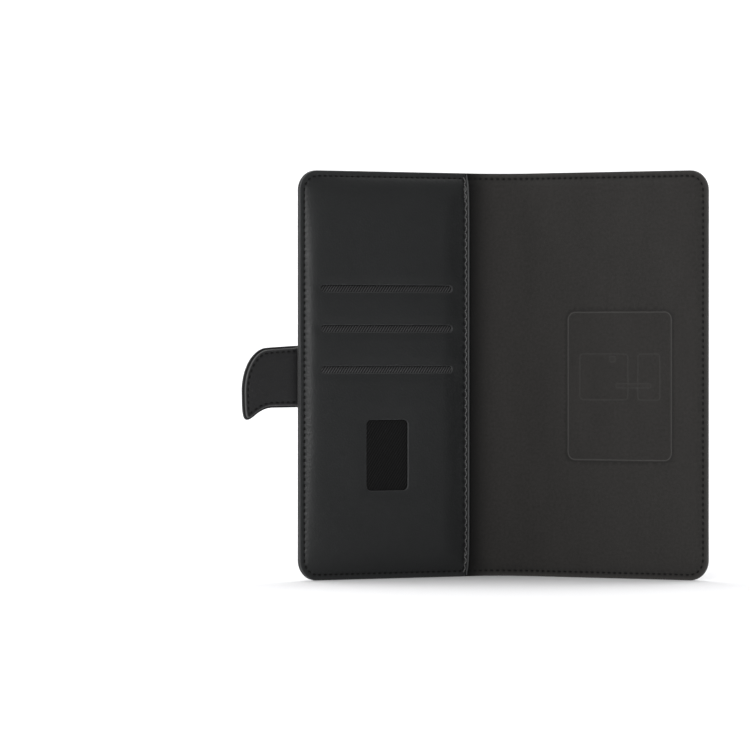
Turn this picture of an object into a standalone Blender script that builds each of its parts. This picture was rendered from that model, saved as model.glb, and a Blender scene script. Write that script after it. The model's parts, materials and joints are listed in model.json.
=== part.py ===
"""Folio phone wallet case, standing open like a book.

Two covers hang on a curved spine. The front cover carries a card panel over a cash pocket and
ends in a closure tab, and the back cover carries the steel plate that a phone's magnet holds to.

Each cover is laid out flat: u runs from the hinge line to the fore-edge, v from the face of the
outer leather towards the inside of the case, and z up. All sizes are in metres.
"""

import math

import bmesh
import bpy
from mathutils import Vector
from mathutils.geometry import interpolate_bezier

# The case as a whole
COVER_HEIGHT = 0.163
COVER_WIDTH = 0.0785
CORNER_RADIUS = 0.008
COVER_LEAN = math.radians(30)
SPINE_CHORD = 0.0275
SPINE_SHORT = 0.0004
GAP = 0.0003

# Thicknesses of the sheets
SKIN = 0.0009
BOARD = 0.0008
LINING = 0.0003
SHEET = 0.00025
FACE = 0.0008
STEEL = 0.0006

# How far each layer stays back from a hinge line, so that the covers can close
SKIN_SETBACK = 0.0007
LINING_SETBACK = 0.0021
SEAM_SETBACK = 0.0026
FACE_SETBACK = 0.0032
BOARD_SETBACK = 0.0045

# The sewn margin round a cover, and the slopes (width, rise) up from it
SEAM_INSET = 0.0022
BOARD_INSET = 0.0043
LINING_MARGIN = 0.0030
LINING_SLOPE = ((0.0010, BOARD + GAP),)
FACE_MARGIN = 0.0025
FACE_SLOPE = ((0.0012, 0.0016), (0.0026, 0.0010))

# The card panel: three slots, a thumb window, and the sheets that part the cards
SLOT_SIZE = (0.0605, 0.0028)
SLOT_RADIUS = 0.0013
SLOT_CENTRE = 0.0396
SLOT_HEIGHTS = (0.1161, 0.1001, 0.0837)
WINDOW_SIZE = (0.0190, 0.0283)
WINDOW_CENTRE = (0.0397, 0.0495)
WINDOW_RADIUS = 0.002
WALL_INSET = 0.0050
POCKET_INSET = 0.0065
POCKET_LIP = 0.0035
PIPING_RADIUS = 0.0005
PIPING_LINE = 0.0024
POCKET_SEAM_LINE = 0.0039

# The phone holder and the tab's keeper, both let into the back board
TARGET_CENTRE = (0.040, 0.0773)
PLATE_SIZE = (0.044, 0.0565)
PLATE_RADIUS = 0.003
KEEPER_SIZE = (0.006, 0.018)
KEEPER_RADIUS = 0.001
KEEPER_HEIGHT = 0.0755

# The closure tab; its lengths run outwards from the fore-edge
TAB_OUTER = 0.0006
TAB_CORE = 0.0005
TAB_INNER = 0.0004
TAB_ROOT_AXIS = (0.0012, -0.0005)
TAB_CREASE_AXIS = (0.0186, -0.0003)
TAB_HALF_GAP = 0.0007
TAB_SEAM_INSET = 0.0020
TAB_CORE_INSET = 0.0030
ANCHOR_SIZE = (0.0130, 0.0236)
ANCHOR_EDGE = 0.0006
ANCHOR_HEIGHT = 0.0811
ANCHOR_RADIUS = 0.003
ANCHOR_THICKNESS = 0.0008
ANCHOR_SEAM_INSET = 0.0018
MAGNET_SIZE = (0.0018, 0.0100)
MAGNET_CENTRE = (0.0204, 0.0755)
MAGNET_RADIUS = 0.0006

THREAD_RADIUS = 0.0002
ARC_STEPS = 8
TAB_STEPS = 7

# Heights of the layers above the face of the outer leather
BOARD_V = SKIN + GAP
LINING_RIM_V = SKIN + GAP + LINING
LINING_V = LINING_RIM_V + LINING_SLOPE[0][1]
FACE_RIM_V = LINING_RIM_V + GAP + FACE
FACE_V = FACE_RIM_V + sum(rise for _, rise in FACE_SLOPE)

SPINE_RADIUS = SPINE_CHORD / 2 / math.sin(COVER_LEAN)
BACK, FRONT = 1, -1


class Layout:
    """A body's flat layout: an empty on its joint's axis, and that axis's place in (u, v)."""

    def __init__(self, name, parent, location, turn=0.0, side=BACK, axis=(0.0, 0.0)):
        self.empty = bpy.data.objects.new(name, None)
        self.empty.empty_display_size = 0.01
        self.empty.parent = parent
        self.empty.location = location
        self.empty.rotation_euler = (0, 0, turn)
        self.side = side
        self.axis = axis
        PARTS.objects.link(self.empty)

    def place(self, u, v, z):
        return Vector((self.side * (u - self.axis[0]), self.axis[1] - v, z))


def new_collection(name):
    group = bpy.data.collections.new(name)
    bpy.context.scene.collection.children.link(group)
    return group


def material(name, colour, roughness, metallic=0.0):
    made = bpy.data.materials.new(name)
    made.use_nodes = True
    shader = made.node_tree.nodes["Principled BSDF"]
    shader.inputs["Base Color"].default_value = (*colour, 1.0)
    shader.inputs["Roughness"].default_value = roughness
    shader.inputs["Metallic"].default_value = metallic
    made.diffuse_color = (*colour, 1.0)
    return made


# Outlines and paths, as lists of (u, z) points


def arc(centre, radius, start, end, steps=ARC_STEPS):
    """Points on a circle, from one angle to another in degrees."""
    points = []
    for i in range(steps + 1):
        angle = math.radians(start + (end - start) * i / steps)
        points.append((centre[0] + radius * math.cos(angle), centre[1] + radius * math.sin(angle)))
    return points


def cover_outline(setback, inset=0.0):
    """A cover's outline: square at the hinge, round at the two fore-edge corners."""
    low, high, fore = inset, COVER_HEIGHT - inset, COVER_WIDTH - inset
    radius = CORNER_RADIUS - inset
    points = [(setback, low)]
    points += arc((fore - radius, low + radius), radius, -90, 0)
    points += arc((fore - radius, high - radius), radius, 0, 90)
    points.append((setback, high))
    return points


def rounded_box(centre, size, radius, steps=ARC_STEPS):
    """A rectangle with four round corners."""
    half_u, half_z = size[0] / 2 - radius, size[1] / 2 - radius
    points = []
    for quarter, (side_u, side_z) in enumerate(((1, 1), (-1, 1), (-1, -1), (1, -1))):
        corner = (centre[0] + side_u * half_u, centre[1] + side_z * half_z)
        points += arc(corner, radius, 90 * quarter, 90 * quarter + 90, steps)
    return points


def box_between(low, high):
    return [(low[0], low[1]), (high[0], low[1]), (high[0], high[1]), (low[0], high[1])]


def tab_outline():
    """The tab's hooked outline, from its upper root corner round the tip to its lower one.

    Each knot is (place, handle it is reached by, handle it is left by).
    """
    knots = (
        ((0.0130, 0.0925), None, (0.0193, 0.0920)),
        ((0.0240, 0.0742), (0.0244, 0.0840), (0.0239, 0.0697)),
        ((0.0220, 0.0640), (0.0240, 0.0642), (0.0195, 0.0637)),
        ((0.0105, 0.0687), (0.0168, 0.0687), None),
    )
    points = [(0.0, 0.0933)]
    for (start, _, leave), (end, arrive, _) in zip(knots, knots[1:]):
        span = [Vector(point) for point in (start, leave, arrive, end)]
        points += [tuple(point) for point in interpolate_bezier(*span, TAB_STEPS)[:-1]]
    points += [knots[-1][0], (0.0, 0.0688)]
    return [(COVER_WIDTH + s, z) for s, z in points]


def inset_path(points, distance):
    """A path moved to the right of its direction of travel."""
    moved = []
    for i, (u, z) in enumerate(points):
        before = Vector(points[max(i - 1, 0)])
        after = Vector(points[min(i + 1, len(points) - 1)])
        along = (after - before).normalized()
        moved.append((u + along.y * distance, z - along.x * distance))
    return moved


def clip_path(points, low, high):
    """What lies between two values of u, with new points where the path crosses them."""
    kept = []
    for start, end in zip(points, points[1:]):
        shares = {0.0, 1.0}
        for limit in (low, high):
            if (start[0] - limit) * (end[0] - limit) < 0:
                shares.add((limit - start[0]) / (end[0] - start[0]))
        for share in sorted(shares):
            point = tuple(round(a + (b - a) * share, 7) for a, b in zip(start, end))
            if low - 1e-6 <= point[0] <= high + 1e-6 and point not in kept:
                kept.append(point)
    return kept


# Solids


def add(name, data, layout, coat, group=None):
    """Puts a mesh or curve into the case, on its body's empty, with its own material."""
    made = bpy.data.objects.new(name, data)
    made.parent = layout.empty
    (group or PARTS).objects.link(made)
    if coat:
        data.materials.append(coat)
    return made


def filled_outline(name, points, thickness):
    """A flat outline extruded to a thickness, as one welded mesh. At thickness 0 it is a sheet."""
    curve = bpy.data.curves.new(name, "CURVE")
    curve.dimensions = "2D"
    curve.fill_mode = "BOTH"
    curve.extrude = thickness / 2
    spline = curve.splines.new("POLY")
    spline.points.add(len(points) - 1)
    for point, place in zip(spline.points, points):
        point.co = (*place, 0, 1)
    spline.use_cyclic_u = True
    source = bpy.data.objects.new(name + "_outline", curve)
    bpy.context.scene.collection.objects.link(source)
    evaluated = source.evaluated_get(bpy.context.evaluated_depsgraph_get())
    mesh = bpy.data.meshes.new_from_object(evaluated)
    bpy.data.objects.remove(source)
    bpy.data.curves.remove(curve)
    shape = bmesh.new()
    shape.from_mesh(mesh)
    bmesh.ops.remove_doubles(shape, verts=shape.verts, dist=1e-6)
    bmesh.ops.recalc_face_normals(shape, faces=shape.faces)
    shape.to_mesh(mesh)
    shape.free()
    mesh.name = name
    return mesh


def stand_up(made, layout, v):
    """Turns a flat layout upright, its own z becoming v, and sets it v above the outer leather."""
    made.rotation_euler = (math.radians(90), 0, 0)
    made.location = layout.place(layout.axis[0], v, 0)


def local(points, layout):
    return [(layout.side * (u - layout.axis[0]), z) for u, z in points]


def plate(name, points, low_v, high_v, layout, coat, group=None):
    """A flat sheet that lies between two heights above the outer leather."""
    mesh = filled_outline(name, local(points, layout), high_v - low_v)
    made = add(name, mesh, layout, coat, group)
    stand_up(made, layout, (low_v + high_v) / 2)
    return made


def dished_sheet(name, setback, rim_v, margin, slope, thickness, layout, coat):
    """A sheet sewn flat along three sides, whose middle rises from that margin.

    The outline first runs on past the hinge line, where it is cut off again, so that the sheet
    keeps its full height right up to its hinge side.
    """
    overrun = 2 * margin + sum(width for width, _ in slope)
    mesh = filled_outline(name, local(cover_outline(setback - overrun), layout), 0)
    shape = bmesh.new()
    shape.from_mesh(mesh)
    middle = bmesh.ops.dissolve_faces(shape, faces=shape.faces[:])["region"]
    if middle[0].normal.z < 0:
        bmesh.ops.reverse_faces(shape, faces=middle)
    for width, rise in ((margin, 0.0), *slope):
        bmesh.ops.inset_region(
            shape, faces=middle, thickness=width, use_boundary=True, use_even_offset=True
        )
        for vert in {vert for face in middle for vert in face.verts}:
            vert.co.z += rise
    bmesh.ops.bisect_plane(
        shape,
        geom=shape.verts[:] + shape.edges[:] + shape.faces[:],
        plane_co=(layout.side * setback, 0, 0),
        plane_no=(-layout.side, 0, 0),
        clear_outer=True,
    )
    shape.to_mesh(mesh)
    shape.free()
    made = add(name, mesh, layout, coat)
    stand_up(made, layout, rim_v)
    solidify = made.modifiers.new("thickness", "SOLIDIFY")
    solidify.thickness = thickness
    solidify.offset = -1
    solidify.use_even_offset = True
    return made


def cut(piece, cutter):
    cutter.hide_render = True
    cutter.display_type = "WIRE"
    boolean = piece.modifiers.new("cut_" + cutter.name, "BOOLEAN")
    boolean.operation = "DIFFERENCE"
    boolean.solver = "EXACT"
    boolean.object = cutter


def cut_through(piece, name, points, low_v, high_v, layout):
    """Cuts an outline out of a piece, a little past both of its faces."""
    cut(piece, plate(name, points, low_v - FACE, high_v + FACE, layout, None, CUTTERS))


def tube(name, path, radius, layout, coat):
    """A round line through (u, v, z) points, with closed ends."""
    curve = bpy.data.curves.new(name, "CURVE")
    curve.dimensions = "3D"
    curve.bevel_depth = radius
    curve.bevel_resolution = 1
    curve.use_fill_caps = True
    spline = curve.splines.new("POLY")
    spline.points.add(len(path) - 1)
    for point, (u, v, z) in zip(spline.points, path):
        point.co = (*layout.place(u, v, z), 1)
    return add(name, curve, layout, coat)


def thread(name, points, surface_v, layout):
    """A seam's thread, lying along (u, z) points on a surface."""
    v = surface_v + GAP + THREAD_RADIUS
    return tube(name, [(u, v, z) for u, z in points], THREAD_RADIUS, layout, THREAD)


# The two covers


def cover_leathers(side_name, layout):
    """The outer leather, the board and the lining, the same on both covers. Returns the board."""
    plate(f"{side_name}_skin", cover_outline(SKIN_SETBACK), 0, SKIN, layout, LEATHER)
    outline = cover_outline(BOARD_SETBACK, BOARD_INSET)
    board = plate(f"{side_name}_board", outline, BOARD_V, BOARD_V + BOARD, layout, GREYBOARD)
    dished_sheet(
        f"{side_name}_lining",
        LINING_SETBACK,
        LINING_RIM_V,
        LINING_MARGIN,
        LINING_SLOPE,
        LINING,
        layout,
        MICROFIBRE,
    )
    return board


def back_cover(layout):
    board = cover_leathers("back", layout)
    thread("back_seam_thread", cover_outline(SEAM_SETBACK, SEAM_INSET), LINING_RIM_V, layout)

    keeper_centre = (COVER_WIDTH - BOARD_INSET - KEEPER_SIZE[0] / 2, KEEPER_HEIGHT)
    inserts = (
        ("mounting_plate", TARGET_CENTRE, PLATE_SIZE, PLATE_RADIUS),
        ("tab_keeper", keeper_centre, KEEPER_SIZE, KEEPER_RADIUS),
    )
    for name, centre, size, radius in inserts:
        outline = rounded_box(centre, size, radius)
        plate(name, outline, BOARD_V, BOARD_V + STEEL, layout, PLATED_STEEL)
        room = [length + 2 * GAP for length in size]
        outline = rounded_box(centre, room, radius + GAP)
        cut_through(board, name + "_room", outline, BOARD_V, BOARD_V + BOARD, layout)


def pocket_sheets(layout):
    """The wall that closes the cash pocket, and the two sheets that part the three cards."""
    first_v = LINING_V + GAP
    step_v = SHEET + GAP
    low = (FACE_SETBACK, WALL_INSET)
    high = (COVER_WIDTH - WALL_INSET, COVER_HEIGHT - WALL_INSET)
    sheets = [("cash_pocket_wall", low, high)]
    for name, height in zip(("middle_card_divider", "lower_card_divider"), SLOT_HEIGHTS[1:]):
        low = (POCKET_INSET, POCKET_INSET)
        high = (COVER_WIDTH - POCKET_INSET, height + POCKET_LIP)
        sheets.append((name, low, high))
    for i, (name, low, high) in enumerate(sheets):
        v = first_v + i * step_v
        plate(name, box_between(low, high), v, v + SHEET, layout, TWILL)


def card_panel(layout):
    """The padded leather face, with its slots and window, and the roll along its free edge."""
    face = dished_sheet(
        "card_panel_face",
        FACE_SETBACK,
        FACE_RIM_V,
        FACE_MARGIN,
        FACE_SLOPE,
        FACE,
        layout,
        PANEL_LEATHER,
    )
    openings = [("thumb_window", WINDOW_CENTRE, WINDOW_SIZE, WINDOW_RADIUS)]
    for name, height in zip(("upper_slot", "middle_slot", "lower_slot"), SLOT_HEIGHTS):
        openings.append((name, (SLOT_CENTRE, height), SLOT_SIZE, SLOT_RADIUS))
    for name, centre, size, radius in openings:
        outline = rounded_box(centre, size, radius, ARC_STEPS // 2)
        cut_through(face, name, outline, FACE_V - FACE, FACE_V, layout)

    profile = [(PIPING_RADIUS, FACE_RIM_V), (FACE_MARGIN, FACE_RIM_V)]
    for width, rise in FACE_SLOPE:
        profile.append((profile[-1][0] + width, profile[-1][1] + rise))
    profile += [(COVER_HEIGHT - z, v) for z, v in reversed(profile)]
    path = [(PIPING_LINE, v - PIPING_RADIUS / 2, z) for z, v in profile]
    tube("card_panel_piping", path, PIPING_RADIUS, layout, PANEL_LEATHER)
    crown = FACE_MARGIN + sum(width for width, _ in FACE_SLOPE)
    seam = [(POCKET_SEAM_LINE, crown), (POCKET_SEAM_LINE, COVER_HEIGHT - crown)]
    thread("pocket_edge_thread", seam, FACE_V, layout)


def front_cover(layout):
    cover_leathers("front", layout)
    pocket_sheets(layout)
    card_panel(layout)
    outline = cover_outline(POCKET_SEAM_LINE, SEAM_INSET)
    thread("front_seam_thread", outline, FACE_RIM_V, layout)


# The spine


def spine_sheet(name, setback, low_v, high_v, inset, layout, coat):
    """A sheet bent round the spine between the hinge lines, inset from the case's top and bottom."""
    reach = math.degrees(COVER_LEAN - setback / SPINE_RADIUS)
    centre = (-SPINE_CHORD / 2, -SPINE_RADIUS * math.cos(COVER_LEAN))
    outline = arc(centre, SPINE_RADIUS - low_v, 90 + reach, 90 - reach, 2 * ARC_STEPS)
    outline += arc(centre, SPINE_RADIUS - high_v, 90 - reach, 90 + reach, 2 * ARC_STEPS)
    made = add(name, filled_outline(name, outline, COVER_HEIGHT - 2 * inset), layout, coat)
    made.location.z = COVER_HEIGHT / 2


def spine(layout):
    sheets = (
        ("spine_skin", SKIN_SETBACK, 0, SKIN, SPINE_SHORT, LEATHER),
        ("spine_stiffener", BOARD_SETBACK, BOARD_V, BOARD_V + BOARD, BOARD_INSET, FLEXIBLE_SHEET),
        ("spine_lining", LINING_SETBACK, LINING_V - LINING, LINING_V, SPINE_SHORT, MICROFIBRE),
    )
    for name, setback, low_v, high_v, inset, coat in sheets:
        spine_sheet(name, setback, low_v, high_v, inset, layout, coat)


# The closure tab


def tab_layers():
    """The (low, high) heights of the tab's inner leather, core and outer leather, all behind v = 0."""
    inner = (-GAP - TAB_INNER, -GAP)
    core = (inner[0] - GAP - TAB_CORE, inner[0] - GAP)
    outer = (core[0] - GAP - TAB_OUTER, core[0] - GAP)
    return inner, core, outer


def tab_anchor(layout):
    """The tab's root, sewn to the outside of the front cover."""
    centre = (COVER_WIDTH - ANCHOR_EDGE - ANCHOR_SIZE[0] / 2, ANCHOR_HEIGHT)
    outline = rounded_box(centre, ANCHOR_SIZE, ANCHOR_RADIUS)
    plate("tab_anchor", outline, -GAP - ANCHOR_THICKNESS, -GAP, layout, LEATHER)
    fore = centre[0] + ANCHOR_SIZE[0] / 2 - ANCHOR_SEAM_INSET
    seam_size = [length - 2 * ANCHOR_SEAM_INSET for length in ANCHOR_SIZE]
    round_seam = rounded_box(centre, seam_size, ANCHOR_RADIUS - ANCHOR_SEAM_INSET)
    seam = [(fore, centre[1] + seam_size[1] / 2)]
    seam += round_seam[ARC_STEPS + 1 : 3 * (ARC_STEPS + 1)]
    seam.append((fore, centre[1] - seam_size[1] / 2))
    v = -GAP - ANCHOR_THICKNESS - GAP - THREAD_RADIUS
    path = [(u, v, z) for u, z in seam]
    tube("tab_anchor_thread", path, THREAD_RADIUS, layout, THREAD)


def tab_leathers(part_name, low_s, high_s, layout):
    """The tab's inner and outer leather between two distances from the fore-edge."""
    inner, _, outer = tab_layers()
    outline = clip_path(tab_outline(), COVER_WIDTH + low_s, COVER_WIDTH + high_s)
    plate(f"{part_name}_inner_leather", outline, *inner, layout, LEATHER)
    plate(f"{part_name}_outer_leather", outline, *outer, layout, LEATHER)


def tab_threads(names, low_s, high_s, layout):
    """The tab's seam between two distances from the fore-edge: one thread, or an upper and a lower."""
    core_v = sum(tab_layers()[1]) / 2
    seam = inset_path(tab_outline(), TAB_SEAM_INSET)
    turn = seam.index(max(seam)) + 1
    stretches = [seam] if len(names) == 1 else [seam[:turn], seam[turn - 1 :]]
    for name, stretch in zip(names, stretches):
        kept = clip_path(stretch, COVER_WIDTH + low_s, COVER_WIDTH + high_s)
        tube(name, [(u, core_v, z) for u, z in kept], THREAD_RADIUS, layout, THREAD)


def tab_strap(layout):
    """The part that crosses the fore-edge when the case is shut."""
    low = TAB_ROOT_AXIS[0] + TAB_HALF_GAP
    high = TAB_CREASE_AXIS[0] - TAB_HALF_GAP
    tab_leathers("tab_strap", low, high, layout)
    tab_threads(("tab_strap_upper_thread", "tab_strap_lower_thread"), low, high, layout)
    path = inset_path(tab_outline(), TAB_CORE_INSET)
    outline = clip_path(path, COVER_WIDTH + low, COVER_WIDTH + high)
    plate("tab_strap_core", outline, *tab_layers()[1], layout, FLEXIBLE_SHEET)


def tab_tip(layout):
    """The hooked end, which holds the magnet."""
    low = TAB_CREASE_AXIS[0] + TAB_HALF_GAP
    high = 2 * TAB_CREASE_AXIS[0]
    tab_leathers("tab_tip", low, high, layout)
    tab_threads(("tab_tip_thread",), low, high, layout)
    centre = (COVER_WIDTH + MAGNET_CENTRE[0], MAGNET_CENTRE[1])
    outline = rounded_box(centre, MAGNET_SIZE, MAGNET_RADIUS, ARC_STEPS // 2)
    plate("tab_magnet", outline, *tab_layers()[1], layout, PLATED_STEEL)


def centre_on_base(root):
    """Moves the whole case so that the row frame's origin is under the middle of its box."""
    graph = bpy.context.evaluated_depsgraph_get()
    places = []
    for piece in PARTS.objects:
        if piece.type == "EMPTY":
            continue
        shown = piece.evaluated_get(graph)
        places += [shown.matrix_world @ vert.co for vert in shown.to_mesh().vertices]
        shown.to_mesh_clear()
    for i in range(2):
        values = [place[i] for place in places]
        root.location[i] = -(min(values) + max(values)) / 2


for old in list(bpy.data.objects):
    bpy.data.objects.remove(old)
PARTS = new_collection("phone_wallet_case")
CUTTERS = new_collection("cutters")

LEATHER = material("outer_leather", (0.013, 0.013, 0.014), 0.42)
PANEL_LEATHER = material("panel_leather", (0.020, 0.021, 0.022), 0.38)
MICROFIBRE = material("microfibre", (0.034, 0.032, 0.030), 0.95)
TWILL = material("twill", (0.010, 0.010, 0.011), 0.85)
GREYBOARD = material("greyboard", (0.23, 0.22, 0.20), 0.9)
FLEXIBLE_SHEET = material("flexible_sheet", (0.12, 0.12, 0.12), 0.7)
PLATED_STEEL = material("plated_steel", (0.62, 0.62, 0.63), 0.3, 1.0)
THREAD = material("thread", (0.016, 0.016, 0.016), 0.6)

case = Layout("case", None, (0, 0, 0)).empty
back_layout = Layout("back_cover", case, (SPINE_CHORD / 2, 0, 0), -COVER_LEAN, BACK)
spine_layout = Layout("back_fold_axis", case, (SPINE_CHORD / 2, 0, 0))
front_layout = Layout(
    "front_fold_axis", spine_layout.empty, (-SPINE_CHORD, 0, 0), COVER_LEAN, FRONT
)
root_axis = (COVER_WIDTH + TAB_ROOT_AXIS[0], TAB_ROOT_AXIS[1])
crease_axis = (COVER_WIDTH + TAB_CREASE_AXIS[0], TAB_CREASE_AXIS[1])
strap_place = front_layout.place(*root_axis, 0)
strap_layout = Layout(
    "tab_root_axis", front_layout.empty, strap_place, side=FRONT, axis=root_axis
)
tip_place = strap_layout.place(*crease_axis, 0)
tip_layout = Layout(
    "tab_crease_axis", strap_layout.empty, tip_place, side=FRONT, axis=crease_axis
)

back_cover(back_layout)
spine(spine_layout)
front_cover(front_layout)
tab_anchor(front_layout)
tab_strap(strap_layout)
tab_tip(tip_layout)
centre_on_base(case)
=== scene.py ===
"""The looks of the folio phone wallet case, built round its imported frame.

The case is drawn flat and then folded. In the flat layout p runs from the middle of the spine,
positive to the back cover and negative to the front cover and its tab, z runs up, and the
height v runs from the outer face of the leather towards the inside of the case. All sizes are
in metres.
"""

import json
import math

import bmesh
import bpy
import numpy as np
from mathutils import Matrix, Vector
from mathutils.geometry import delaunay_2d_cdt, interpolate_bezier
from mathutils.kdtree import KDTree


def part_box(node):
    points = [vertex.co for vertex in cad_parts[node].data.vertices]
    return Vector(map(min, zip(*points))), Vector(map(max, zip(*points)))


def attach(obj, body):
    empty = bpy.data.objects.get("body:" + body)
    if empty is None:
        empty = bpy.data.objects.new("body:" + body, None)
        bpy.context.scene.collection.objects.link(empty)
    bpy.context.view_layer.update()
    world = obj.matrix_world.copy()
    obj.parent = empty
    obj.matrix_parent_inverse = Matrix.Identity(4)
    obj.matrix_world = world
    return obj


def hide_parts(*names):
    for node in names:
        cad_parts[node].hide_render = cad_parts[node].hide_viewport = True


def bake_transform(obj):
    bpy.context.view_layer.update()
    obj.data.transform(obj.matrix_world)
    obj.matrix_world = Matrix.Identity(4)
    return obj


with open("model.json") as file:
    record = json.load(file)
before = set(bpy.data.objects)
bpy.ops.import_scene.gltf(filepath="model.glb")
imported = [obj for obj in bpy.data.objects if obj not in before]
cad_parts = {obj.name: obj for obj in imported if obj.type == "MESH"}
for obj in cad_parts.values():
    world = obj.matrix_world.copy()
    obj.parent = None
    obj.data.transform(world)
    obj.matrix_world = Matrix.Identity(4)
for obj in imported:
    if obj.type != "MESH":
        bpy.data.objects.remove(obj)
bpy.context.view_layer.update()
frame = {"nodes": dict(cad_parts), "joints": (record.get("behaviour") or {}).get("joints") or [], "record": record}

# The case's main sizes, from the frame
LEAN = math.radians(30)
JOINTS = {joint["name"]: Vector(joint["pos_m"]) for joint in frame["joints"]}
BACK_HINGE, FRONT_HINGE = JOINTS["back_fold"], JOINTS["front_fold"]
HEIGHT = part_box("back_skin")[1].z
COVER_WIDTH = (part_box("back_skin")[1].x - BACK_HINGE.x) / math.cos(LEAN)
SPINE_RADIUS = (BACK_HINGE.x - FRONT_HINGE.x) / 2 / math.sin(LEAN)
SPINE_X = (BACK_HINGE.x + FRONT_HINGE.x) / 2
SPINE_Y = BACK_HINGE.y - SPINE_RADIUS * math.cos(LEAN)
HALF_SPINE = SPINE_RADIUS * LEAN
REACH = HALF_SPINE + COVER_WIDTH
CORNER_RADIUS = 0.008
FRONT, BACK = -1, 1

# Heights of the layers above the outer face of the leather
SKIN = 0.0009
LINING = (0.00092, 0.00122)
LINING_RISE = 0.00113
LINING_SLOPE = (0.0027, 0.0047)
FACE = (0.00124, 0.00204)
FACE_RISE = 0.00276
CLOTH = 0.00016

# Seams
SEAM_INSET = 0.0022
SEAM_PITCH = 0.0025
SEAM_STEPS = 5
MOUTH = HALF_SPINE + 0.0018
MOUTH_SEAM = HALF_SPINE + 0.0031
MOUTH_SEAM_END = 0.0016
MOUTH_PITCH = 0.0032
PIPING_LINE = HALF_SPINE + 0.0012
PIPING_RADIUS = 0.0005
THREAD_RADIUS = 0.00024
MOUTH_THREAD_RADIUS = 0.00026
THREAD_BED = 0.00020

# Rows of points beside an edge, which let a mesh round it off
LEATHER_EDGE_ROWS = (0.00008, 0.00018, 0.0003, 0.00045)
LINING_EDGE_ROWS = (0.00006, 0.00014, 0.00024)
CLOTH_EDGE_ROWS = (0.00006, 0.0003, 0.0012)
MOUTH_ROWS = (0.00008, 0.0002, 0.00035)
MOUTH_ROW_END = 0.0012
OPENING_ROWS = (0.00008, 0.0002, 0.00036, 0.0006)

# The closure tab: heights, and distances outwards from the fore-edge
TAB_INNER = (-0.0007, -0.0003)
TAB_OUTER = (-0.0024, -0.0018)
TAB_MEETING = -0.00122
TAB_SPLIT = 0.0095
TAB_ROOT = (0.0688, 0.0933)
TAB_SEAM_INSET = 0.0021
TAB_BORDER = 0.0008
TAB_RIM = (0.0024, 0.0029)
TAB_RIM_START = (0.0010, 0.0025)
TAB_SPACING = 0.0007

# The tab's root on the cover; its lengths run inwards from the fore-edge
ANCHOR = (-0.0011, -0.0003)
ANCHOR_START = 0.0006
ANCHOR_REACH = 0.0136
ANCHOR_SIDES = (0.0693, 0.0929)
ANCHOR_RADIUS = 0.003
ANCHOR_SEAM_INSET = 0.0018


# The flat layout and its folding


def fold(flat, height):
    """Takes flat points and their heights to their places in the open case."""
    p, z = flat[:, 0], flat[:, 1]
    angle = np.clip(p / SPINE_RADIUS, -LEAN, LEAN)
    beyond = p - angle * SPINE_RADIUS
    radius = SPINE_RADIUS - height
    x = SPINE_X + radius * np.sin(angle) + beyond * np.cos(angle)
    y = SPINE_Y + radius * np.cos(angle) - beyond * np.sin(angle)
    return np.stack([x, y, z], axis=1)


class RoundedBox:
    """A rectangle with round corners."""

    def __init__(self, centre, size, radius):
        self.centre = np.array(centre)
        self.half = np.array(size) / 2
        self.radius = radius

    def depth(self, flat):
        """How far inside the outline each point lies, and negative outside it."""
        beyond = np.abs(flat - self.centre) - self.half + self.radius
        outside = np.linalg.norm(np.maximum(beyond, 0), axis=1)
        inside = np.minimum(beyond.max(axis=1), 0)
        return self.radius - outside - inside

    def loop(self, inset=0.0, spacing=0.0008):
        """Points round the outline. Loops at different insets have points side by side."""
        core = self.half - self.radius
        steps = max(4, math.ceil(math.pi / 2 * self.radius / spacing))
        points = []
        for quarter, signs in enumerate(((1, 1), (-1, 1), (-1, -1), (1, -1))):
            corner = self.centre + core * signs
            for i in range(steps + 1):
                angle = math.pi / 2 * (quarter + i / steps)
                reach = self.radius - inset
                points.append(corner + reach * np.array([math.cos(angle), math.sin(angle)]))
            count = max(1, math.ceil(2 * core[quarter % 2] / spacing))
            along = np.array(((-1, 0), (0, -1), (1, 0), (0, 1))[quarter])
            run = 2 * core[quarter % 2]
            points += [points[-1] + along * run * i / count for i in range(1, count)]
        return np.array(points)


class Polygon:
    """Any closed outline, its points going anticlockwise."""

    def __init__(self, points):
        self.points = np.array(points)

    def depth(self, flat):
        start = self.points
        along = np.roll(start, -1, axis=0) - start
        offset = flat[:, None] - start[None]
        share = (offset * along).sum(2) / (along**2).sum(1)
        nearest = offset - np.clip(share, 0, 1)[..., None] * along
        distance = np.linalg.norm(nearest, axis=2).min(axis=1)
        above = flat[:, None, 1] >= start[None, :, 1]
        crosses = above != np.roll(above, -1, axis=1)
        turn = along[:, 0] * offset[..., 1] - along[:, 1] * offset[..., 0]
        left = turn * np.sign(along[:, 1]) > 0
        inside = (crosses & left).sum(axis=1) % 2 == 1
        return np.where(inside, distance, -distance)

    def loop(self, inset=0.0):
        return shift(self.points, inset, closed=True)


def shift(points, distance, closed=False):
    """Moves a line of points to the left of its direction of travel."""
    before, after = np.roll(points, 1, axis=0), np.roll(points, -1, axis=0)
    if not closed:
        before[0], after[-1] = points[0], points[-1]
    incoming, outgoing = points - before, after - points
    if not closed:
        incoming[0], outgoing[-1] = outgoing[0], incoming[-1]
    incoming /= np.linalg.norm(incoming, axis=1)[:, None]
    outgoing /= np.linalg.norm(outgoing, axis=1)[:, None]
    normals = np.stack([-(incoming + outgoing)[:, 1], (incoming + outgoing)[:, 0]], axis=1)
    spread = 1 + (incoming * outgoing).sum(axis=1)
    return points + distance * normals / spread[:, None]


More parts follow.
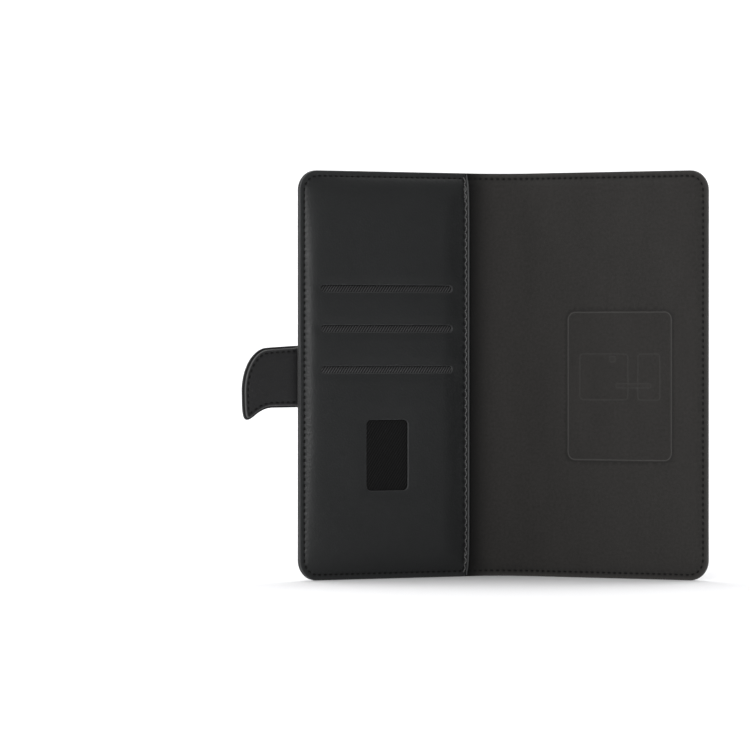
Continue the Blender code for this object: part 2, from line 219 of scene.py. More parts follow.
def resample(points, step, multiple=1):
    """The same line with its points evenly spaced, in a whole number of multiples."""
    lengths = np.linalg.norm(np.diff(points, axis=0), axis=1)
    reached = np.concatenate([[0], np.cumsum(lengths)])
    count = max(1, round(reached[-1] / step / multiple)) * multiple
    wanted = np.linspace(0, reached[-1], count + 1)
    return np.stack([np.interp(wanted, reached, points[:, i]) for i in range(2)], axis=1)


def arc(centre, radius, start, end, spacing):
    steps = max(2, math.ceil(abs(math.radians(end - start)) * radius / spacing))
    angles = np.radians(np.linspace(start, end, steps + 1))
    return np.array(centre) + radius * np.stack([np.cos(angles), np.sin(angles)], axis=1)


OUTLINE_SPACING = 0.001


def half_outline(side, start, inset=0.0, spacing=OUTLINE_SPACING):
    """Round one cover, from the line at distance start from the spine's middle and back to it."""
    fore = REACH - CORNER_RADIUS
    reach = (CORNER_RADIUS - inset) / CORNER_RADIUS
    low = arc((fore, CORNER_RADIUS), CORNER_RADIUS, -90, 0, spacing)
    high = arc((fore, HEIGHT - CORNER_RADIUS), CORNER_RADIUS, 0, 90, spacing)
    first = resample(np.array([(start, 0), low[0]]), spacing)[:-1] + (0, inset)
    upright = resample(np.array([low[-1], high[0]]), spacing)[1:-1] - (inset, 0)
    last = resample(np.array([high[-1], (start, HEIGHT)]), spacing)[1:] - (0, inset)
    low = (low - (fore, CORNER_RADIUS)) * reach + (fore, CORNER_RADIUS)
    high = (high - (fore, HEIGHT - CORNER_RADIUS)) * reach + (fore, HEIGHT - CORNER_RADIUS)
    return np.concatenate([first, low, upright, high, last]) * (side, 1)


def closed_half(side, start):
    """The same outline closed by a straight line."""
    path = half_outline(side, start)
    closing = resample(np.array([path[-1], path[0]]), OUTLINE_SPACING)[1:-1]
    return np.concatenate([path, closing])


WHOLE = RoundedBox((0, HEIGHT / 2), (2 * REACH, HEIGHT), CORNER_RADIUS)


def half_test(side):
    """Makes the test for flat points on one cover and its half of the spine."""
    return lambda flat: (WHOLE.depth(flat) > 0) & (flat[:, 0] * side > 0)


# Surfaces


def smooth(value, low, high):
    """0 up to low, 1 from high on, and a soft step between them."""
    share = np.clip((value - low) / (high - low), 0, 1)
    return share * share * (3 - 2 * share)


def round_off(depth, radius):
    """How far a rounded edge falls away, at each depth inside the outline."""
    short = np.clip(1 - depth / radius, 0, 1)
    return radius * (1 - np.sqrt(1 - short**2))


def hollow(distance, width, depth):
    """A soft-sided groove, or a soft-edged line when it is used for painted highlight or painted shade."""
    return depth * np.exp(-((distance / width) ** 2))


def nearest(flat, points, far=0.004):
    """Each flat point's distance to the nearest of some other points."""
    tree = KDTree(len(points))
    for i, (p, z) in enumerate(points):
        tree.insert((p, z, 0), i)
    tree.balance()
    found = [tree.find((p, z, 0))[2] for p, z in flat]
    return np.minimum(found, far)


class Seam:
    """A line of stitches: its holes, a pitch apart, and the rows that give a mesh detail there."""

    OFFSETS = (-0.0006, -0.0003, 0, 0.0003, 0.0006)
    CHANNEL = (0.00050, 0.00010)
    BED = (0.00045, 0.00014)
    SHADE = (0.00042, 0.9)

    def __init__(self, path, pitch):
        self.line = resample(path, pitch / SEAM_STEPS, SEAM_STEPS)
        self.holes = self.line[::SEAM_STEPS]
        self.middles = np.concatenate([self.line[2::SEAM_STEPS], self.line[3::SEAM_STEPS]])
        self.rows = [shift(self.line, offset) for offset in self.OFFSETS]

    def sink(self, flat):
        """How far the leather is pulled down along the seam, and more under each stitch."""
        along = hollow(nearest(flat, self.line), *self.CHANNEL)
        return along + hollow(nearest(flat, self.middles), *self.BED)

    def shade(self, flat):
        """Painted shade: how much darker the leather is painted in the bed of each stitch."""
        return hollow(nearest(flat, self.middles), *self.SHADE)


EDGE_SEAMS = {
    side: Seam(half_outline(side, 0.0, SEAM_INSET, 0.0005), SEAM_PITCH) for side in (FRONT, BACK)
}

MOUTH_SEAM_LINE = Seam(
    np.array([(-MOUTH_SEAM, MOUTH_SEAM_END), (-MOUTH_SEAM, HEIGHT - MOUTH_SEAM_END)]),
    MOUTH_PITCH,
)
HOLE_STRETCH = (1, 0.5)
HOLE_WIDTH = 0.00042
HOLE_DEPTH = 0.00035


def mouth_holes(flat):
    """1 in the long open holes of the mouth seam, and 0 away from them."""
    ends = MOUTH_SEAM_LINE.holes
    distance = nearest(flat * HOLE_STRETCH, (ends[1:] + ends[:-1]) / 2 * HOLE_STRETCH)
    return hollow(distance, HOLE_WIDTH, 1.0)


# What is cut and pressed into the inside
SLOT_SIZE = (0.0605, 0.0028)
SLOT_RADIUS = 0.0013
SLOT_HEIGHTS = (0.1161, 0.1001, 0.0837)
SLOTS = [RoundedBox((-HALF_SPINE - 0.0396, z), SLOT_SIZE, SLOT_RADIUS) for z in SLOT_HEIGHTS]
WINDOW = RoundedBox((-HALF_SPINE - 0.0397, 0.0495), (0.0190, 0.0283), 0.002)
OPENINGS = (*SLOTS, WINDOW)
TARGET = RoundedBox((HALF_SPINE + 0.0396, 0.0771), (0.0463, 0.0592), 0.003)
PICTOGRAM = (
    RoundedBox((HALF_SPINE + 0.0326, 0.0808), (0.0216, 0.0184), 0.0015),
    RoundedBox((HALF_SPINE + 0.0528, 0.0808), (0.0098, 0.0184), 0.0012),
    RoundedBox((HALF_SPINE + 0.04585, 0.0773), (0.0155, 0.0017), 0.0006),
    RoundedBox((HALF_SPINE + 0.0365, 0.0879), (0.0022, 0.0022), 0.0004),
)
PRESS_ROWS = (-0.0006, -0.00022, 0, 0.00022, 0.0006)

# Grooves and dips, each a width and a depth
FOLD_GROOVE = (0.0022, 0.0006)
TARGET_LINE = (0.00030, 0.00026)
PICTOGRAM_LINE = (0.00026, 0.00013)
SLOT_DIP = (0.0022, 0.00025)
WINDOW_DIP = (0.0035, 0.0003)


def lining_top(flat):
    """The lining rises from its sewn margin, and dips at the front fold and its pressed lines."""
    slope = smooth(WHOLE.depth(flat), *LINING_SLOPE)
    top = LINING[1] + LINING_RISE * slope
    top -= hollow(flat[:, 0] + HALF_SPINE, *FOLD_GROOVE) * slope
    top -= hollow(TARGET.depth(flat), *TARGET_LINE)
    for shape in PICTOGRAM:
        top -= hollow(shape.depth(flat), *PICTOGRAM_LINE)
    return top


# The simulation of the card panel's padding
CLOTH_SCALE = 8
CLOTH_STEPS = (60, 124)
CLOTH_FRAMES = 24
CLOTH_QUALITY = 6
CLOTH_PRESSURE = 30
CLOTH_STIFFNESS = 5
CLOTH_MASS = 0.1
MOUTH_RISE = 0.0020
MOUTH_CORNER = 0.009
HELD_WIDTH = 0.0004
FOAM_FIRMNESS = 1.6
FLAP_RISE = 0.0015
FLAP_WIDTH = 0.013


def simulate_padding():
    """The card panel's padded rise on a grid, as cloth that foam presses away from its sewn sides.

    The cloth runs at a larger scale, where Blender's solver works well. It is held on its three
    sewn sides and, higher up, along the pocket's mouth.
    """
    across = np.linspace(-REACH + SEAM_INSET, -MOUTH, CLOTH_STEPS[0])
    up = np.linspace(SEAM_INSET, HEIGHT - SEAM_INSET, CLOTH_STEPS[1])
    flat = np.array([(p, z) for z in up for p in across])
    at_mouth = np.arange(len(flat)) % CLOTH_STEPS[0] == CLOTH_STEPS[0] - 1
    depth = WHOLE.depth(flat)
    start = np.where(at_mouth, MOUTH_RISE * smooth(depth, SEAM_INSET, MOUTH_CORNER), 0)
    columns, rows = CLOTH_STEPS
    faces = [
        (i + j * columns, i + 1 + j * columns, i + 1 + (j + 1) * columns, i + (j + 1) * columns)
        for j in range(rows - 1)
        for i in range(columns - 1)
    ]
    mesh = bpy.data.meshes.new("padding")
    places = np.column_stack([flat, start]) * CLOTH_SCALE
    mesh.from_pydata([tuple(place) for place in places], [], faces)
    made = bpy.data.objects.new("padding", mesh)
    bpy.context.scene.collection.objects.link(made)
    held = made.vertex_groups.new(name="held")
    fixed = (depth < SEAM_INSET + HELD_WIDTH) | at_mouth
    held.add([int(i) for i in np.flatnonzero(fixed)], 1.0, "REPLACE")
    cloth = made.modifiers.new("cloth", "CLOTH")
    cloth.point_cache.frame_end = CLOTH_FRAMES
    cloth.collision_settings.use_collision = False
    cloth.settings.vertex_group_mass = "held"
    cloth.settings.use_pressure = True
    cloth.settings.uniform_pressure_force = CLOTH_PRESSURE
    cloth.settings.effector_weights.gravity = 0
    cloth.settings.quality = CLOTH_QUALITY
    cloth.settings.mass = CLOTH_MASS
    cloth.settings.tension_stiffness = CLOTH_STIFFNESS
    cloth.settings.compression_stiffness = CLOTH_STIFFNESS
    for moment in range(1, CLOTH_FRAMES + 1):
        bpy.context.scene.frame_set(moment)
    shown = made.evaluated_get(bpy.context.evaluated_depsgraph_get()).data
    rise = np.array([vertex.co.z for vertex in shown.vertices]) / CLOTH_SCALE
    bpy.data.objects.remove(made)
    bpy.data.meshes.remove(mesh)
    bpy.context.scene.frame_set(1)
    return across, up, rise.reshape(rows, columns)


PADDING = simulate_padding()


def pillow(flat):
    """The simulated rise at any flat point, held down to the thickness of the foam."""
    across, up, rise = PADDING
    i = np.interp(flat[:, 0], across, np.arange(len(across)))
    j = np.interp(flat[:, 1], up, np.arange(len(up)))
    left = np.minimum(i.astype(int), len(across) - 2)
    low = np.minimum(j.astype(int), len(up) - 2)
    share_i, share_j = i - left, j - low
    lower = rise[low, left] * (1 - share_i) + rise[low, left + 1] * share_i
    upper = rise[low + 1, left] * (1 - share_i) + rise[low + 1, left + 1] * share_i
    free = lower * (1 - share_j) + upper * share_j
    from_mouth = -MOUTH - flat[:, 0]
    foam = FLAP_RISE + (FACE_RISE - FLAP_RISE) * smooth(from_mouth, 0.0, FLAP_WIDTH)
    return foam * np.tanh(FOAM_FIRMNESS * free / foam)


def face_top(flat):
    """The card panel's surface, which sinks a little at its slots and round its window."""
    top = FACE[1] + pillow(flat)
    for slot in SLOTS:
        top -= hollow(np.minimum(slot.depth(flat), 0), *SLOT_DIP)
    top -= hollow(np.minimum(WINDOW.depth(flat), 0), *WINDOW_DIP)
    return top


def inner_surface(flat):
    """What is seen from inside: the card panel, or else the lining."""
    return np.where(flat[:, 0] < -MOUTH, face_top(flat), lining_top(flat))


# Meshes

# Blender's triangulation runs in millimetres, and drops grid points this close to the fixed ones
MILLIMETRES = 1000
CLEARANCE = 0.62


def triangulate(loops, rows, inside, spacing):
    """Triangles over what inside() accepts, bounded by the loops and passing through the rows."""
    fixed = np.concatenate([*loops, *rows])
    low, high = fixed.min(axis=0), fixed.max(axis=0)
    across = np.arange(low[0], high[0], spacing)
    up = np.arange(low[1], high[1], spacing * math.sqrt(3) / 2)
    grid = np.array([(p + spacing / 2 * (i % 2), z) for i, z in enumerate(up) for p in across])
    grid = grid[inside(grid)]
    grid = grid[nearest(grid, fixed) > spacing * CLEARANCE]
    points = np.concatenate([fixed, grid]) * MILLIMETRES
    edges, start = [], 0
    for loop in loops:
        edges += [(start + i, start + (i + 1) % len(loop)) for i in range(len(loop))]
        start += len(loop)
    found = delaunay_2d_cdt([Vector(point) for point in points], edges, [], 0, 1e-5)
    flat = np.array([tuple(point) for point in found[0]]) / MILLIMETRES
    faces = np.array(found[2])
    return flat, faces[inside(flat[faces].mean(axis=1))]


def finish_mesh(name, places, faces, flat, marks, sharp=math.radians(50)):
    """Makes an object, with its flat layout as a UV map and its marks as attributes."""
    mesh = bpy.data.meshes.new(name)
    mesh.from_pydata([tuple(place) for place in places], [], [tuple(face) for face in faces])
    shape = bmesh.new()
    shape.from_mesh(mesh)
    bmesh.ops.recalc_face_normals(shape, faces=shape.faces)
    shape.to_mesh(mesh)
    shape.free()
    corners = np.zeros(len(mesh.loops), np.int32)
    mesh.loops.foreach_get("vertex_index", corners)
    layer = mesh.uv_layers.new(name="flat")
    layer.data.foreach_set("uv", flat[corners].astype(np.float32).ravel())
    for mark, values in marks.items():
        layer = mesh.attributes.new(mark, "FLOAT", "POINT")
        layer.data.foreach_set("value", values.astype(np.float32))
    mesh.shade_smooth()
    mesh.set_sharp_from_angle(angle=sharp)
    made = bpy.data.objects.new(name, mesh)
    bpy.context.scene.collection.objects.link(made)
    return made


def sheet(name, filled, low, high, painted_highlight, shaded):
    """A closed sheet between two heights over a filled outline, with each point's marks."""
    flat, faces = filled
    count = len(flat)
    edges = np.concatenate([faces[:, [0, 1]], faces[:, [1, 2]], faces[:, [2, 0]]])
    keys, uses = np.unique(np.sort(edges, axis=1), axis=0, return_counts=True)
    border = {tuple(key) for key in keys[uses == 1]}
    walls = [(a, b, b + count, a + count) for a, b in edges if tuple(sorted((a, b))) in border]
    places = np.concatenate([fold(flat, high), fold(flat, low)])
    skin = [*faces, *(faces[:, ::-1] + count), *walls]
    marks = {"highlight_share": np.tile(painted_highlight, 2), "shade": np.tile(shaded, 2)}
    return finish_mesh(name, places, skin, np.tile(flat, (2, 1)), marks)


def edge_rows(side, start, insets):
    return [half_outline(side, start, inset) for inset in insets]


def dress(piece, material, slot_name, *nodes):
    """Gives a piece its material, and hides the CAD nodes that it stands for."""
    piece.data.materials.append(material)
    if nodes:
        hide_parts(*nodes)


def bend_over(piece, side):
    """Bakes a piece's placement into its mesh; its shape already follows the fold."""
    if side == FRONT:
        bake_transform(piece)
    else:
        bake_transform(piece)


# Threads

THREAD_SIDES = 6
END_THINNESS = 0.55
STITCH_POINTS = 9
STITCH_DIVE = 0.0004
STITCH_STEEPNESS = 2.2
STITCH_RISE = 0.4


def thread_mesh(name, runs, radius, highlight_share=0.0):
    """Joins round threads, each a list of (p, z, v) points in the flat layout, into one piece."""
    sides = THREAD_SIDES
    ring = np.linspace(0, 2 * math.pi, sides, endpoint=False)
    places, flats, faces = [], [], []
    for run in runs:
        flat, height = run[:, :2], run[:, 2]
        along = np.gradient(flat, axis=0)
        along /= np.linalg.norm(along, axis=1)[:, None]
        across = np.stack([-along[:, 1], along[:, 0]], axis=1)
        first = sum(len(part) for part in flats)
        thin = np.full(len(run), radius)
        thin[[0, -1]] *= END_THINNESS
        swing = np.cos(ring)[None, :, None] * thin[:, None, None]
        shown = flat[:, None] + across[:, None] * swing
        raised = height[:, None] + np.sin(ring)[None] * thin[:, None]
        places.append(fold(shown.reshape(-1, 2), raised.ravel()))
        flats.append(shown.reshape(-1, 2))
        for i in range(len(run) - 1):
            for j in range(sides):
                k = (j + 1) % sides
                row = first + i * sides
                faces.append((row + j, row + k, row + sides + k, row + sides + j))
        faces.append(tuple(first + j for j in range(sides)))
        faces.append(tuple(first + (len(run) - 1) * sides + j for j in reversed(range(sides))))
    flat = np.concatenate(flats)
    marks = {"highlight_share": np.full(len(flat), highlight_share)}
    return finish_mesh(name, np.concatenate(places), faces, flat, marks, math.radians(80))


def stitches(holes, surface, side=1, reach=0.6, radius=THREAD_RADIUS, bow=0.0):
    """One run of thread for each pair of holes, diving into the leather at both ends.

    side is 1 on the inside of the case and -1 on the outside. reach is the share of the pitch
    that shows, and bow how far the thread swings to the right.
    """
    runs = []
    steps = np.linspace(-1, 1, STITCH_POINTS)
    arch = np.cos(np.pi / 2 * steps)
    for start, end in zip(holes, holes[1:]):
        along = end - start
        right = np.array([along[1], -along[0]]) / np.linalg.norm(along)
        flat = (start + end) / 2 + along * reach / 2 * steps[:, None] + right * bow * arch[:, None]
        dive = STITCH_DIVE * (1 - np.minimum(arch * STITCH_STEEPNESS, 1))
        height = surface(flat) + side * (radius * STITCH_RISE - dive)
        runs.append(np.column_stack([flat, height]))
    return runs


def level(height):
    """Makes a surface that has the same height everywhere."""
    return lambda flat: np.full(len(flat), height)


# Materials

BANDS_PER_UNIT = 3.183  # of a Wave texture at scale 1
# The near-black colour that painted shade blends a surface towards
SHADE_COLOUR = (0.0008, 0.0008, 0.0008)


def new_material(name, **values):
    """A Principled material; a value's name is its socket's, with _ for a space."""
    made = bpy.data.materials.new(name)
    made.use_nodes = True
    shader = made.node_tree.nodes["Principled BSDF"]
    for socket, value in values.items():
        shader.inputs[socket.replace("_", " ")].default_value = value
    return made


def feed(tree, socket, value):
    """Gives an input a value, or a link from another node's socket."""
    if isinstance(value, bpy.types.NodeSocket):
        tree.links.new(value, socket)
    else:
        socket.default_value = value


def node(tree, kind, settings=None, **inputs):
    """Adds a node; an input's name is its socket's, with _ for a space."""
    made = tree.nodes.new("ShaderNode" + kind)
    for name, value in (settings or {}).items():
        setattr(made, name, value)
    for name, value in inputs.items():
        feed(tree, made.inputs[name.replace("_", " ")], value)
    return made


def mark_value(tree, name):
    """Reads a mark that a mesh carries at its points, such as its painted highlight share and its painted shade.
    """
    return node(tree, "Attribute", {"attribute_name": name}).outputs["Fac"]


def flat_coordinates(tree, stretch=(1, 1, 1), turn=0.0):
    source = node(tree, "UVMap", {"uv_map": "flat"}).outputs[0]
    made = node(tree, "Mapping", Vector=source, Scale=stretch, Rotation=(0, 0, turn))
    return made.outputs[0]


def noise(tree, where, size, detail=3.0, roughness=0.5):
    settings = {"Scale": 1 / size, "Detail": detail, "Roughness": roughness}
    return node(tree, "TexNoise", Vector=where, **settings).outputs["Fac"]


def cells(tree, where, size):
    made = node(tree, "TexVoronoi", {"feature": "SMOOTH_F1"}, Vector=where, Scale=1 / size)
    return made.outputs["Distance"]


def arithmetic(tree, operation, first, second):
    made = node(tree, "Math", {"operation": operation})
    feed(tree, made.inputs[0], first)
    feed(tree, made.inputs[1], second)
    return made.outputs[0]


def spread(tree, value, low, high):
    """Stretches a 0 to 1 value to another range."""
    return node(tree, "MapRange", Value=value, To_Min=low, To_Max=high).outputs[0]


def blend_colours(tree, share, first, second):
    made = node(tree, "Mix", {"data_type": "RGBA"})
    colours = [socket for socket in made.inputs if socket.type == "RGBA"]
    factor = next(socket for socket in made.inputs if socket.type == "VALUE")
    tree.links.new(share, factor)
    for socket, colour in zip(colours, (first, second)):
        feed(tree, socket, (*colour, 1) if isinstance(colour, tuple) else colour)
    return next(socket for socket in made.outputs if socket.type == "RGBA")


def shaded_colour(tree, colour):
    """Darkens a colour towards near black by the mesh's painted shade."""
    return blend_colours(tree, mark_value(tree, "shade"), colour, SHADE_COLOUR)


def finish_shader(made, colour=None, roughness=None, bumps=()):
    """Links a colour, a roughness and layers of (height, distance) bump into the shader."""
    tree = made.node_tree
    shader = tree.nodes["Principled BSDF"]
    if colour:
        tree.links.new(colour, shader.inputs["Base Color"])
    if roughness:
        tree.links.new(roughness, shader.inputs["Roughness"])
    normal = None
    for height, distance in bumps:
        bump = node(tree, "Bump", Height=height, Distance=distance, Strength=1.0)
        if normal:
            tree.links.new(normal, bump.inputs["Normal"])
        normal = bump.outputs[0]
    if normal:
        tree.links.new(normal, shader.inputs["Normal"])
    return made


def leather(name, dark, light, painted_highlight, roughness):
    """Coated leather: a fine grain, slow changes of tone and shine, paler edges where the mesh carries painted
    highlight, and darker places where it carries painted shade.
    """
    made = new_material(name, Roughness=roughness, Specular_IOR_Level=0.25)
    tree = made.node_tree
    where = flat_coordinates(tree)
    tone = noise(tree, where, 0.035, 4.0, 0.6)
    colour = blend_colours(tree, tone, dark, light)
    patches = spread(tree, noise(tree, where, 0.004), 0.5, 1.2)
    # Painted highlight, in patches, where the mesh's highlight share marks it
    highlight_share = arithmetic(tree, "MULTIPLY", mark_value(tree, "highlight_share"), patches)
    colour = blend_colours(tree, highlight_share, colour, painted_highlight)
    colour = shaded_colour(tree, colour)
    varied = spread(tree, noise(tree, where, 0.012, 5.0), roughness - 0.07, roughness + 0.09)
    bumps = (
        (noise(tree, where, 0.030, 2.0), 0.0006),
        (noise(tree, where, 0.0035, 3.0), 0.00005),
        (cells(tree, where, 0.00075), 0.00005),
        (noise(tree, where, 0.00022, 2.0), 0.000012),
    )
    return finish_shader(made, colour, varied, bumps)


def microfibre():
    """Brushed microfibre: matt, a little warm, with soft nap marks."""
    made = new_material(
        "microfibre_nap",
        Roughness=0.92,
        Specular_IOR_Level=0.2,
        Sheen_Weight=0.2,
        Sheen_Roughness=0.45,
    )
    tree = made.node_tree
    where = flat_coordinates(tree)
    tall = flat_coordinates(tree, (1, 0.35, 1))
    broad = spread(tree, noise(tree, tall, 0.016, 3.0, 0.6), 0.0, 0.6)
    fine = spread(tree, noise(tree, where, 0.0012, 4.0, 0.7), -0.5, 0.9)
    marks = arithmetic(tree, "ADD", broad, fine)
    colour = blend_colours(tree, marks, (0.0150, 0.0142, 0.0134), (0.0276, 0.0261, 0.0247))
    # Painted highlight on the lining's rounded edges and painted sheen on its pressed lines
    colour = blend_colours(tree, mark_value(tree, "highlight_share"), colour, (0.085, 0.082, 0.079))
    colour = shaded_colour(tree, colour)
    bumps = (
        (noise(tree, tall, 0.020, 2.0), 0.0005),
        (noise(tree, where, 0.0004, 4.0, 0.7), 0.00006),
    )
    return finish_shader(made, colour, None, bumps)


def ribbed(name, dark, light, pitch, turn, height, roughness):
    """Ribs at an angle: a twill, or the twist of a thread."""
    made = new_material(name, Roughness=roughness, Specular_IOR_Level=0.15)
    tree = made.node_tree
    waves = node(
        tree,
        "TexWave",
        {"bands_direction": "X"},
        Vector=flat_coordinates(tree, turn=math.radians(turn)),
        Scale=1 / pitch / BANDS_PER_UNIT,
        Distortion=0.6,
        Detail=1.0,
    )
    ribs = waves.outputs["Fac"]
    colour = shaded_colour(tree, blend_colours(tree, ribs, dark, light))
    fibres = noise(tree, flat_coordinates(tree), pitch / 4, 3.0)
    return finish_shader(made, colour, None, ((ribs, height), (fibres, height / 3)))


def twisted_thread(name, dark, light, roughness):
    return ribbed(name, dark, light, 0.0005, 40, 0.00005, roughness)


def insert(name, dark, light, grain, height, **values):
    """Board, flexible sheet or plated steel: speckled in the part's own coordinates."""
    made = new_material(name, **values)
    tree = made.node_tree
    where = node(tree, "TexCoord").outputs["Object"]
    speckle = noise(tree, where, grain, 5.0, 0.65)
    colour = blend_colours(tree, speckle, dark, light)
    middle = values["Roughness"]
    roughness = spread(tree, noise(tree, where, grain * 6), middle - 0.06, middle + 0.06)
    return finish_shader(made, colour, roughness, ((speckle, height),))


OUTER = leather(
    "outer_leather_coated",
    dark=(0.0085, 0.0085, 0.0090),
    light=(0.0130, 0.0130, 0.0135),
    painted_highlight=(0.10, 0.10, 0.10),
    roughness=0.46,
)
PANEL = leather(
    "panel_leather_coated",
    dark=(0.0095, 0.0102, 0.0105),
    light=(0.0136, 0.0143, 0.0147),
    painted_highlight=(0.075, 0.077, 0.078),
    roughness=0.42,
)
NAP = microfibre()
TWILL = ribbed(
    "twill_cloth",
    dark=(0.0040, 0.0040, 0.0043),
    light=(0.0700, 0.0700, 0.0715),
    pitch=0.0010,
    turn=35,
    height=0.00012,
    roughness=0.8,
)
THREAD = twisted_thread("twisted_thread", (0.002, 0.002, 0.002), (0.006, 0.006, 0.006), 0.7)
PALE_THREAD = twisted_thread("mouth_thread", (0.05, 0.05, 0.05), (0.13, 0.13, 0.13), 0.5)
INSERTS = {
    "greyboard": insert(
        "pressed_board", (0.17, 0.16, 0.145), (0.30, 0.29, 0.27), 0.0012, 0.00003, Roughness=0.88
    ),
    "flexible_sheet": insert(
        "milky_sheet", (0.10, 0.10, 0.10), (0.14, 0.14, 0.14), 0.004, 0.00001, Roughness=0.55
    ),
    "plated_steel": insert(
        "nickel_plate",
        (0.55, 0.55, 0.56),
        (0.66, 0.66, 0.67),
        0.0018,
        0.000004,
        Roughness=0.28,
        Metallic=1.0,
    ),
}


# The case's pieces

# Painted highlight on edges and pressed lines, and painted shade, each a width and a strength
LEATHER_EDGE_PALE = (0.0003, 0.8)
LINING_EDGE_PALE = (0.00022, 0.7)
TARGET_PALE = (0.00017, 0.55)
PICTOGRAM_PALE = (0.00020, 0.18)
PANEL_EDGE_PALE = (0.0003, 0.75)
MOUTH_PALE = (0.0003, 0.4)
GROOVE_SHADE = (0.0075, 0.98)
TARGET_SHADE = (0.0002, 0.35)
TARGET_SHADE_OFFSET = 0.0006
SLOT_SHADE = (0.0006, 0.8)


def outer_leathers():
    """The outer leather of both covers and the spine, in two halves that meet on the spine."""
    for side, name, board, nodes in (
        (FRONT, "outer_leather_front", "front_board", ("front_skin",)),
        (BACK, "outer_leather_back", "back_board", ("back_skin", "spine_skin")),
    ):
        seam = EDGE_SEAMS[side]
        rows = edge_rows(side, 0.0, LEATHER_EDGE_ROWS) + seam.rows
        filled = triangulate([closed_half(side, 0.0)], rows, half_test(side), spacing=0.0016)
        flat = filled[0]
        depth = WHOLE.depth(flat)
        fallen = round_off(depth, radius=0.00042)
        low = fallen + seam.sink(flat)
        # Painted highlight along the rounded edge, and painted shade in the stitch beds
        painted_highlight = hollow(depth, *LEATHER_EDGE_PALE)
        piece = sheet(name, filled, low, SKIN - fallen, painted_highlight, seam.shade(flat))
        dress(piece, OUTER, "outer_leather", *nodes)
        bend_over(piece, side)


def linings():
    """The microfibre lining of both covers and the spine, in the same two halves."""
    shapes = (TARGET, *PICTOGRAM)
    pressed = [shape.loop(row) for shape in shapes for row in PRESS_ROWS if shape.radius > row]
    thickness = LINING[1] - LINING[0]
    for side, name, board, nodes in (
        (FRONT, "lining_front", "front_board", ("front_lining",)),
        (BACK, "lining_back", "back_board", ("back_lining", "spine_lining")),
    ):
        seam = EDGE_SEAMS[side]
        rows = edge_rows(side, 0.0, LINING_EDGE_ROWS) + seam.rows
        if side == BACK:
            rows += pressed
        filled = triangulate([closed_half(side, 0.0)], rows, half_test(side), spacing=0.0013)
        flat = filled[0]
        depth = WHOLE.depth(flat)
        fallen = round_off(depth, radius=0.00015)
        top = lining_top(flat) - seam.sink(flat) * 0.9
        # Painted highlight on the rounded edge, and painted sheen on the pressed target and pictogram lines
        painted_highlight = np.maximum(
            hollow(depth, *LINING_EDGE_PALE), hollow(TARGET.depth(flat), *TARGET_PALE)
        )
        for shape in PICTOGRAM:
            painted_highlight = np.maximum(painted_highlight, hollow(shape.depth(flat), *PICTOGRAM_PALE))
        # Painted shadow on the lining beside the pocket's mouth, where the card panel's edge casts it, and painted
        # shade in the stitch beds
        groove = np.maximum(flat[:, 0] + PIPING_LINE, 0)
        shaded = np.maximum(seam.shade(flat), hollow(groove, *GROOVE_SHADE))
        # Painted shade along the outside of the pressed target line
        round_target = TARGET.depth(flat) + TARGET_SHADE_OFFSET
        shaded = np.maximum(shaded, hollow(round_target, *TARGET_SHADE))
        piece = sheet(name, filled, top - thickness + fallen, top - fallen, painted_highlight, shaded)
        dress(piece, NAP, "microfibre", *nodes)
        bend_over(piece, side)


def card_panel():
    """The padded leather face of the card pockets, with its slots, window and stitched edges."""
    seam = EDGE_SEAMS[FRONT]
    rows = edge_rows(FRONT, MOUTH, LEATHER_EDGE_ROWS)
    for inset in MOUTH_ROWS:
        ends = [(-MOUTH - inset, z) for z in (MOUTH_ROW_END, HEIGHT - MOUTH_ROW_END)]
        rows.append(resample(np.array(ends), 0.001))
    rows += MOUTH_SEAM_LINE.rows
    rows += [row[row[:, 0] < -MOUTH - 0.0002] for row in seam.rows]
    rows += [shape.loop(-row, 0.0006) for shape in OPENINGS for row in OPENING_ROWS]
    holes = [shape.loop(0, 0.0006) for shape in OPENINGS]

    def inside(flat):
        accepted = (WHOLE.depth(flat) > 0) & (flat[:, 0] < -MOUTH)
        for shape in OPENINGS:
            accepted &= shape.depth(flat) < 0
        return accepted

    filled = triangulate([closed_half(FRONT, MOUTH), *holes], rows, inside, spacing=0.0011)
    flat = filled[0]
    depth = WHOLE.depth(flat)
    openings = np.min([-shape.depth(flat) for shape in OPENINGS], axis=0)
    mouth = -MOUTH - flat[:, 0]
    fallen = np.maximum(
        round_off(np.minimum(depth, openings), radius=0.00034), round_off(mouth, radius=0.0004)
    )
    holed = mouth_holes(flat)
    top = face_top(flat) - fallen
    low = face_top(flat) - (FACE[1] - FACE[0]) + fallen
    sunk = seam.sink(flat) + holed * HOLE_DEPTH
    # Painted shade in the stitch beds and in the mouth seam's open holes
    shaded = np.maximum(seam.shade(flat), holed)
    # Painted highlight on the rounded edges, the openings' edges and the pocket's mouth
    painted_highlight = hollow(np.minimum(depth, openings * 1.6), *PANEL_EDGE_PALE)
    painted_highlight += hollow(mouth, *MOUTH_PALE)
    piece = sheet("card_panel_leather", filled, low, top - sunk, painted_highlight, shaded)
    dress(piece, PANEL, "panel_leather", "card_panel_face")
    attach(piece, "front_cover")


def piping():
    """The rolled edge along the mouth of the cash pocket."""
    z = np.linspace(0.0004, HEIGHT - 0.0004, 110)
    flat = np.column_stack([np.full(len(z), -PIPING_LINE), z])
    height = face_top(np.column_stack([np.full(len(z), -MOUTH - 0.001), z])) - 0.00025
    # The roll's highlight share of 0.6 paints a highlight along it
    piece = thread_mesh("rolled_edge", [np.column_stack([flat, height])], PIPING_RADIUS, 0.6)
    dress(piece, PANEL, "panel_leather", "card_panel_piping")
    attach(piece, "front_cover")


